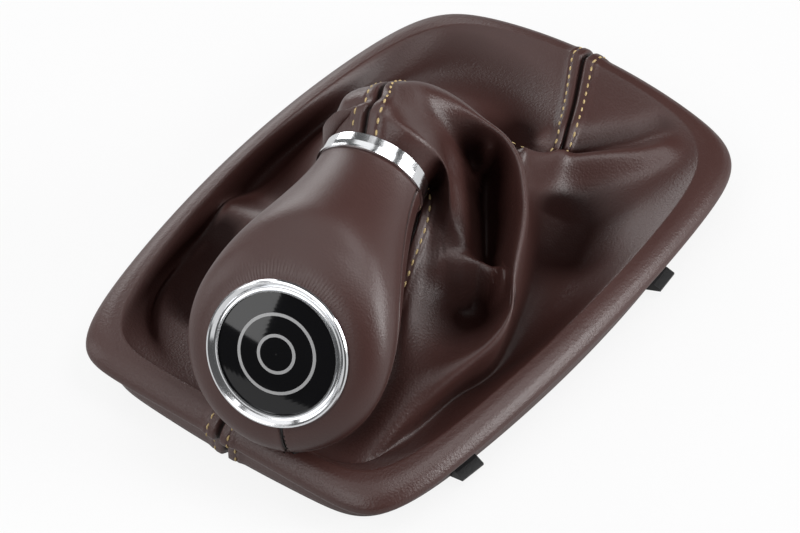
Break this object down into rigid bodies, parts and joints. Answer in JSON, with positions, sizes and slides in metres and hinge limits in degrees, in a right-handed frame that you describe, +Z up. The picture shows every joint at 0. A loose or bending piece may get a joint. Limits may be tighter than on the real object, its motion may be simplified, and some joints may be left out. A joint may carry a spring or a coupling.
{
  "type": "gear shift knob",
  "caption": "Leather-covered pear-shaped gear shift knob with a chrome-ringed badge, joined by a chrome collar to a folded leather gaiter on a clip-in frame.",
  "frame": {"origin": "middle of the gaiter frame's seating plane", "axes": "+X towards the frame's far end, away from the knob's head; +Y to the frame's left side; +Z up"},
  "size_m": [0.2026, 0.1402, 0.0841],
  "materials": {
    "frame_plastic": "moulded, fine grain",
    "gaiter_leather": "soft semi-gloss",
    "grip_leather": "smooth semi-gloss",
    "core_plastic": "moulded",
    "chrome": "polished",
    "badge_black": "high gloss",
    "badge_white": "gloss",
    "clamp_steel": "bright rolled"
  },
  "bodies": {
    "root": {"frame": "frame_plastic", "gaiter_left_panel": "gaiter_leather", "gaiter_right_panel": "gaiter_leather", "knob_core": "core_plastic", "lever_bush": "core_plastic", "grip_front_panel": "grip_leather", "grip_back_panel": "grip_leather", "bezel_ring": "chrome", "badge_carrier": "core_plastic", "badge_disc": "badge_black", "outer_mark_ring": "badge_white", "inner_mark_ring": "badge_white", "collar_ring": "chrome", "neck_sleeve": "core_plastic", "gaiter_tie": "core_plastic", "lever_clamp": "clamp_steel"}
  },
  "joints": []
}
